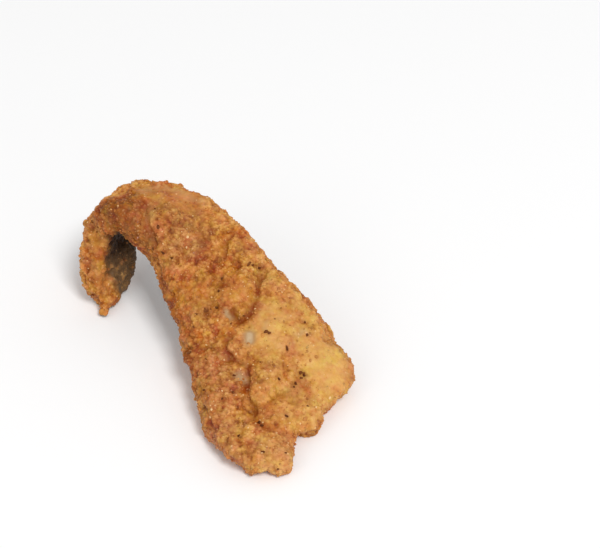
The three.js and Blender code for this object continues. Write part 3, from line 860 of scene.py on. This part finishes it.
def relief_tree(sizes):
    """Raises clumps and knobs on the crust, and sinks its pits, seams and bare flesh."""
    tree = GeometryTree("crust relief", {
        label: ("NodeSocketFloat", size) for label, size in sizes.items()})
    place = tree.place()
    rough = 1.0 - tree.attribute("calm") * 0.8
    bent = tree.moved(place, tree.scaled(tree.drift(place, DRIFT_WIDTH), DRIFT))
    clump = tree.domes(bent, tree["Clump Width"])
    knob = tree.domes(bent, tree["Knob Width"])
    granule = tree.domes(place, tree["Granule Width"], 1.9)
    patchy = tree.noise(place, PATCHY_WIDTH, 1.0)
    even = tree.noise(bent, EVEN_WIDTH, 1.0).between(0.35, 0.65)
    grain = tree.noise(place, GRAIN_WIDTH, 2.0, 0.6)
    pit = tree.noise(bent, PIT_WIDTH, 1.0).between(0.60, 0.74) * rough
    rise = (clump - 0.5) * tree["Clump Height"] * (0.4 + patchy)
    rise = rise + (knob - 0.5) * tree["Knob Height"] * (1.4 - patchy)
    rise = rise + (granule - 0.5) * tree["Granule Height"] * (0.5 + even)
    rise = rise + (grain - 0.5) * GRAIN_HEIGHT * MM
    rise = rise * rough - pit * tree["Pit Depth"] + tree.attribute("rise")
    rise = rise - tree.attribute("cut") - tree.attribute("bare") * tree["Flesh Depth"]
    # How high a place stands on the clumps and knobs, less its pits. The coating's colour takes it
    # as painted highlight on the tops and painted shade in the pits and valleys.
    peak = (clump - 0.5) * 0.25 + (knob - 0.5) * 0.25 + (grain - 0.5) * 0.5 - pit * 0.4
    peak = (0.5 + peak * rough).clamped()
    kept = tree.store(tree["Geometry"], "rest", place, "FLOAT_VECTOR")
    kept = tree.store(kept, "peak", peak)
    outward = tree.add("GeometryNodeInputNormal")
    return tree.finish(tree.moved_points(kept, tree.scaled(outward, rise)))


def hold_in_box(mesh, room):
    """Keeps the vertices inside the solid's box, less some room."""
    low, high = (np.array(corner) for corner in CAD_BOX)
    points = corners_of(mesh)
    inner = np.clip(points, low + room * np.array([1, 1, 0]), high - room)
    mesh.vertices.foreach_set("co", inner.astype(np.float32).ravel())
    mesh.update()


def grain_tree():
    """Scatters grains over a surface, each turned, squashed and half sunk at random."""
    tree = GeometryTree("grains", {
        "Share": ("NodeSocketString", ""),
        "Per Area": ("NodeSocketFloat", 300000.0),
        "Spacing": ("NodeSocketFloat", 0.8 * MM),
        "Size": ("NodeSocketFloat", 0.5 * MM),
        "Sunk": ("NodeSocketFloat", 0.2),
        "Detail": ("NodeSocketInt", 1),
        "Seed": ("NodeSocketInt", 1),
        "Material": ("NodeSocketMaterial", None),
    })
    spread = tree.add("GeometryNodeDistributePointsOnFaces", {"distribute_method": "POISSON"}, {
        "Mesh": tree["Geometry"],
        "Distance Min": tree["Spacing"],
        "Density Max": tree["Per Area"],
        "Density Factor": tree.attribute(tree["Share"]),
        "Seed": tree["Seed"],
    })
    outward = Wire(tree, spread.socket.node.outputs["Normal"])
    size = tree.random(0.0, 1.0, 0)
    size = (0.6 + size * size * 0.8) * tree["Size"]
    sunk = tree.moved_points(spread, tree.scaled(outward, size * tree["Sunk"] * -1.0))
    grains = tree.balls(sunk, tree["Detail"], (0.65, 0.65, 0.5), (1.25, 1.25, 1.1), size, 1)
    grains = tree.store(grains, "tone", tree.random(0.0, 1.0, 3), domain="INSTANCE")
    return tree.finish_balls(grains, 0.7 * MM, 0.7)


def new_material(name):
    material = bpy.data.materials.new(name)
    material.use_nodes = True
    material.node_tree.nodes.clear()
    return material, Nodes(material.node_tree)


def finish_material(nodes, settings):
    """The shader and the output, from the values and links of the shader's sockets."""
    shader = nodes.add("ShaderNodeBsdfPrincipled", None, settings)
    nodes.add("ShaderNodeOutputMaterial", None, {"Surface": shader})


def breading_colour(nodes, crust, place):
    """Coating from rust in its valleys to straw on its tops, in granules that differ a little,
    yellow on its calm patches and brown in its brown places. The rust and straw follow the relief's
    height, so they are partly painted shade in the valleys and painted highlight on the tops."""
    rough = 1.0 - nodes.stored("calm") * 0.7
    broad = nodes.noise(place, BROAD_WIDTH, 2.0, 0.6)
    mottle = nodes.noise(place, MOTTLE_WIDTH, 3.0, 0.6)
    granule = nodes.cells(place, crust.granule_width)
    tint = nodes.cells(place, crust.granule_width, output=1)
    light, spread, fade = (nodes.channel(tint, number) for number in range(3))
    warmth = nodes.noise(nodes.moved(place, (0.3, 0.1, 0.2)), WARM_WIDTH, 3.0, 0.6)
    grainy = (0.45 - granule) * 0.4 + (light - 0.5) * 0.25
    height = nodes.stored("peak") + (mottle - 0.5) * 0.4 + (broad - 0.5) * 0.8 + grainy * rough
    # The ramp paints light on the tops and shade in the valleys, over tone that differs at random.
    colour = nodes.add("ShaderNodeValToRGB", {"stops": (
        (0.06, crust.rust),
        (0.30, crust.toasted),
        (0.52, crust.golden),
        (0.84, crust.straw),
    )}, {"Fac": height})
    pale = nodes.mix(height.between(-0.3, 0.9), crust.golden, crust.yellow)
    colour = nodes.mix(nodes.stored("yellow"), colour, pale)
    brown = nodes.mix(height.between(0.2, 0.9), crust.brown, crust.toasted)
    colour = nodes.mix(nodes.stored("brown"), colour, brown)
    # Rust in the seams and rusty places: partly their own colour, partly painted shade in the
    # creases and valleys.
    rusty = nodes.stored("rust") * 0.7 + nodes.stored("seam") * 0.8
    colour = nodes.mix(rusty.clamped(), colour, crust.rust)
    bloom = nodes.noise(nodes.moved(place, (0.1, 0.4, 0.3)), FADED_WIDTH, 3.0, 0.6)
    hue = 0.5 + (warmth - 0.5) * 0.08 + (spread - 0.5) * rough * 0.014
    # Less saturated where floury: partly flour, partly painted highlight on lit edges.
    strength = 1.0 + (bloom - 0.5) * 0.14 + (fade - 0.5) * 0.03 - nodes.stored("floury") * 0.025
    colour = nodes.add("ShaderNodeHueSaturation", None, {
        "Hue": hue, "Saturation": strength, "Color": colour})
    # The skin inside the tail and under the arch, dark as its own colour and as painted shade, and
    # paler low in the tail.
    low = nodes.add("ShaderNodeSeparateXYZ", None, {0: place}, output=2).between(*HIDE_FADE)
    bleak = (low * 0.65 + (mottle - 0.5) * 1.2).clamped()
    dark = nodes.mix(bleak, crust.dark, crust.hide)
    thin = mottle.between(0.52, 0.72) * low * 0.5
    return nodes.mix(nodes.stored("skin") * (1.0 - thin), colour, dark)


def crust_material(crust):
    """Fried coating: mottled golden brown, grainy and slightly oily."""
    material, nodes = new_material("cornmeal crust")
    place = nodes.add("ShaderNodeAttribute", {"attribute_name": "rest"}, output=1)
    colour = breading_colour(nodes, crust, place)
    fleck = nodes.channel(nodes.cells(place, FLECK_WIDTH, output=1))
    mixed = (1.0 - nodes.stored("calm") * 0.8) * (1.0 - nodes.stored("skin"))
    plain = mixed * (1.0 - nodes.stored("brown") * 0.7)
    colour = nodes.mix(fleck.between(0.85, 0.95) * plain * 0.25, colour, crust.yellow)
    colour = nodes.mix(fleck.between(0.15, 0.05) * mixed * 0.2, colour, crust.brown)
    bare = nodes.stored("bare")
    flesh = nodes.mix(bare.between(0.65, 0.95), crust.shaded_flesh, crust.flesh)
    colour = nodes.mix(bare.between(0.05, 0.95), colour, flesh)
    grain = nodes.cells(place, crust.granule_width) * -1.4 - nodes.cells(place, 0.8 * MM) * 0.5
    grain = grain + nodes.noise(place, 0.5 * MM, 3.0) * 0.5
    grain = grain * (1.0 - nodes.stored("calm") * 0.5) * (1.0 - bare * 0.8)
    finish_material(nodes, {
        "Base Color": colour,
        "Roughness": 0.62 - fleck * 0.2 - bare * 0.25,
        "Normal": nodes.bump(grain, 0.6, 0.4 * MM),
        "Specular IOR Level": 0.18,
    })
    return material


def grain_material(name, crust, light, dark, follow):
    """Grains from one colour to another, partly in the colour of the coating they sit on."""
    material, nodes = new_material(name)
    place = nodes.add("ShaderNodeTexCoord", output=3)
    tone = nodes.stored("tone")
    own = nodes.mix(tone, dark, light)
    colour = nodes.mix(follow, own, breading_colour(nodes, crust, place))
    fine = nodes.noise(place, 0.35 * MM, 3.0)
    colour = nodes.mix(fine.between(0.35, 0.75) * 0.35, colour, dark)
    finish_material(nodes, {
        "Base Color": colour,
        "Roughness": 0.3 + tone * 0.3,
        "Normal": nodes.bump(fine, 0.4, 0.1 * MM),
        "Specular IOR Level": 0.25,
    })
    return material


def settings_of(context):
    scene = context.scene
    return scene.fillet_crust, scene.fillet_grit, scene.fillet_stage


def settle(piece):
    """Makes a finished piece ride on the body."""
    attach(piece, BODY)


class FILLET_OT_crust(bpy.types.Operator):
    """Make the crust: a fine form with relief, that stands for the solid"""

    bl_idname = "fillet.crust"
    bl_label = "Crust"

    def execute(self, context):
        crust, _, stage = settings_of(context)
        form = fine_form(crust)
        bend_outline(form, Sight(stage, form))
        sight = Sight(stage, form)
        mark_patches(form, sight)
        mark_skin(form, sight)
        sizes = {label: getattr(crust, label.lower().replace(" ", "_")) for label in RELIEF_LABELS}
        piece = run_tree(form, relief_tree(sizes), sizes, "crust")
        bpy.data.objects.remove(form)
        hold_in_box(piece.data, GRIT_ROOM)
        piece.data.shade_smooth()
        piece.data.materials.append(crust_material(crust))
        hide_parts(NODE)
        settle(piece)
        return {"FINISHED"}


class FILLET_OT_grit(bpy.types.Operator):
    """Scatter golden, pale and browned grains over the crust. The pale grains are partly pale
    cornmeal and partly painted glints.
    """

    bl_idname = "fillet.grit"
    bl_label = "Grit and Crumbs"

    def execute(self, context):
        crust, grit, _ = settings_of(context)
        ground = bpy.data.objects["crust"]
        mark_shares(ground.data)
        tree = grain_tree()
        cream = from_screen(244, 210, 156)
        amber = from_screen(206, 134, 62)
        rust = from_screen(156, 86, 36)
        umber = from_screen(104, 56, 26)
        # The name, the light and the dark colour, how far it takes the coating's colour, and
        # the inputs of the tree.
        kinds = (
            ("golden_grit", cream, amber, 0.85, {
                "Share": "grit_share", "Per Area": grit.grit_share, "Spacing": 1.0 * MM,
                "Size": grit.grit_size, "Sunk": 0.35, "Detail": 1}),
            # Pale grains: partly pale cornmeal, partly painted glints of the oily crust.
            ("pale_grit", cream, amber, 0.15, {
                "Share": "pale_share", "Per Area": grit.grit_share * 0.15, "Spacing": 1.4 * MM,
                "Size": grit.grit_size * 0.8, "Sunk": 0.25, "Detail": 1}),
            ("brown_grit", rust, umber, 0.7, {
                "Share": "dark_share", "Per Area": grit.grit_share * 0.4, "Spacing": 1.0 * MM,
                "Size": grit.grit_size, "Sunk": 0.35, "Detail": 1}),
            ("crumbs", amber, rust, 0.5, {
                "Share": "dark_share", "Per Area": grit.crumb_share, "Spacing": 2.2 * MM,
                "Size": grit.crumb_size, "Sunk": 0.35, "Detail": 2}),
        )
        for step, (name, light, dark, follow, sizes) in enumerate(kinds):
            material = grain_material(name, crust, light, dark, follow)
            seed = grit.seed + 10 * step
            piece = run_tree(ground, tree, {**sizes, "Seed": seed, "Material": material}, name)
            hold_in_box(piece.data, 0.0)
            settle(piece)
        return {"FINISHED"}


def mark_shares(mesh):
    """Stores how thickly each grit lies: thinly on calm patches, not at all near the floor."""
    values = {}
    for name in ("calm", "bare", "skin", "brown"):
        values[name] = np.empty(len(mesh.vertices), np.float32)
        mesh.attributes[name].data.foreach_get("value", values[name])
    clear = np.clip(corners_of(mesh)[:, 2] / MM - GRIT_FROM, 0, 1)
    plain = clear * (1 - values["bare"])
    plain *= 1 - 0.9 * np.clip(values["skin"] * 1.5, 0, 1)
    store_value(mesh, "grit_share", plain * (1 - 0.7 * values["calm"]))
    # Pale grains, partly painted glints, lie thinly on calm and brown places.
    pale = plain * (1 - 0.25 * values["calm"]) * (1 - 0.8 * values["brown"])
    store_value(mesh, "pale_share", pale)
    store_value(mesh, "dark_share", plain * (1 - 0.95 * values["calm"]))


class FILLET_OT_pepper(bpy.types.Operator):
    """Put flakes of ground pepper where the photograph shows them, and a few elsewhere"""

    bl_idname = "fillet.pepper"
    bl_label = "Pepper"

    def execute(self, context):
        _, grit, stage = settings_of(context)
        ground = bpy.data.objects["crust"]
        sight = Sight(stage, ground)
        places = [sight.hit(at) for *at, _ in PEPPER]
        sizes = [size for *_, size in PEPPER]
        random = np.random.default_rng(grit.seed)
        points = corners_of(ground.data)
        looks = points - np.array(sight.eye)
        looks /= np.linalg.norm(looks, axis=1, keepdims=True)
        away = (looks * normals_of(ground.data)).sum(axis=1) > HIDDEN_FROM
        hidden = points[away & (points[:, 2] > PEPPER_FROM)]
        places.extend(hidden[random.choice(len(hidden), grit.pepper_count, replace=False)])
        sizes.extend(random.uniform(0.6, 1.5, grit.pepper_count))
        mesh = bpy.data.meshes.new("pepper places")
        mesh.from_pydata([tuple(place) for place in places], [], [])
        store_value(mesh, "size", sizes)
        dots = add_object("pepper places", mesh)
        piece = run_tree(dots, flake_tree(), {
            "Size": grit.pepper_size,
            "Seed": grit.seed,
            "Material": pepper_material(),
        }, "pepper")
        bpy.data.objects.remove(dots)
        hold_in_box(piece.data, 0.0)
        settle(piece)
        return {"FINISHED"}


def flake_tree():
    """An angular flake of random shape and turn on each point."""
    tree = GeometryTree("flakes", {
        "Size": ("NodeSocketFloat", 0.6 * MM),
        "Seed": ("NodeSocketInt", 1),
        "Material": ("NodeSocketMaterial", None),
    })
    points = tree.add("GeometryNodeMeshToPoints", None, {"Mesh": tree["Geometry"]})
    size = tree["Size"] * tree.attribute("size")
    flakes = tree.balls(points, 1, (0.7, 0.5, 0.35), (1.5, 1.0, 0.6), size, 0)
    return tree.finish_balls(flakes, 0.5 * MM, 0.9)


def pepper_material():
    """Charred black and brown flakes."""
    material, nodes = new_material("pepper")
    place = nodes.add("ShaderNodeTexCoord", output=3)
    broad = nodes.noise(place, 3 * MM, 1.0)
    fine = nodes.noise(place, 0.3 * MM, 2.0)
    char, husk, ash = from_screen(90, 43, 14), from_screen(128, 72, 34), from_screen(110, 82, 56)
    colour = nodes.mix(broad.between(0.4, 0.65), char, husk)
    finish_material(nodes, {
        "Base Color": nodes.mix(fine.between(0.4, 0.7) * 0.4, colour, ash),
        "Roughness": 0.65 + fine * 0.2,
        "Normal": nodes.bump(fine, 0.5, 0.1 * MM),
        "Specular IOR Level": 0.1,
    })
    return material


class FILLET_OT_stage(bpy.types.Operator):
    """Set up the floor, the lights and the camera"""

    bl_idname = "fillet.stage"
    bl_label = "Stage"

    def execute(self, context):
        _, _, stage = settings_of(context)
        add_camera(stage)
        add_floor(stage)
        add_lights(stage)
        context.scene.view_settings.view_transform = "Standard"
        return {"FINISHED"}


def add_camera(stage):
    data = bpy.data.cameras.new("camera")
    data.lens = stage.lens
    data.sensor_width = stage.sensor
    camera = add_object("camera", data)
    put(camera, *camera_place(stage))
    bpy.context.scene.camera = camera


def add_floor(stage):
    work = bmesh.new()
    bmesh.ops.create_grid(work, x_segments=1, y_segments=1, size=stage.floor_width / 2)
    mesh = bpy.data.meshes.new("floor")
    work.to_mesh(mesh)
    work.free()
    floor = add_object("floor", mesh)
    material, nodes = new_material("floor")
    finish_material(nodes, {"Base Color": (*stage.floor_colour, 1.0), "Roughness": 0.9})
    mesh.materials.append(material)


def add_lights(stage):
    world = bpy.data.worlds.new("surround")
    world.use_nodes = True
    sky = world.node_tree.nodes["Background"].inputs
    sky["Strength"].default_value = stage.surround
    sky["Color"].default_value = (1, 1, 1, 1)
    bpy.context.scene.world = world
    add_light("key", stage.key_power, width=1.2, azimuth=90, elevation=55)
    add_light("fill", stage.fill_power, width=2.0, azimuth=20, elevation=35)


def add_light(name, power, width, azimuth, elevation):
    """A square light, turned to the fillet."""
    data = bpy.data.lights.new(name, "AREA")
    data.energy = power
    data.size = width
    back, turn = view_from(math.radians(azimuth), math.radians(elevation))
    put(add_object(name, data), back * LIGHT_DISTANCE, turn)


class FILLET_PT_panel(bpy.types.Panel):
    """Lists the fillet's operators and sizes"""

    bl_label = "Fried Fillet"
    bl_idname = "FILLET_PT_panel"
    bl_space_type = "VIEW_3D"
    bl_region_type = "UI"
    bl_category = "Fillet"

    def draw(self, context):
        layout = self.layout
        for operator in OPERATORS:
            layout.operator(operator.bl_idname)
        for settings in settings_of(context):
            box = layout.box()
            for name in settings.__annotations__:
                box.prop(settings, name)


OPERATORS = (FILLET_OT_crust, FILLET_OT_grit, FILLET_OT_pepper, FILLET_OT_stage)
CLASSES = (CrustSettings, GritSettings, StageSettings, *OPERATORS, FILLET_PT_panel)


def register():
    for each in CLASSES:
        bpy.utils.register_class(each)
    bpy.types.Scene.fillet_crust = PointerProperty(type=CrustSettings)
    bpy.types.Scene.fillet_grit = PointerProperty(type=GritSettings)
    bpy.types.Scene.fillet_stage = PointerProperty(type=StageSettings)


def unregister():
    del bpy.types.Scene.fillet_stage
    del bpy.types.Scene.fillet_grit
    del bpy.types.Scene.fillet_crust
    for each in reversed(CLASSES):
        bpy.utils.unregister_class(each)


def main():
    register()
    bpy.ops.fillet.crust()
    bpy.ops.fillet.grit()
    bpy.ops.fillet.pepper()
    bpy.ops.fillet.stage()


if __name__ == "__main__":
    main()
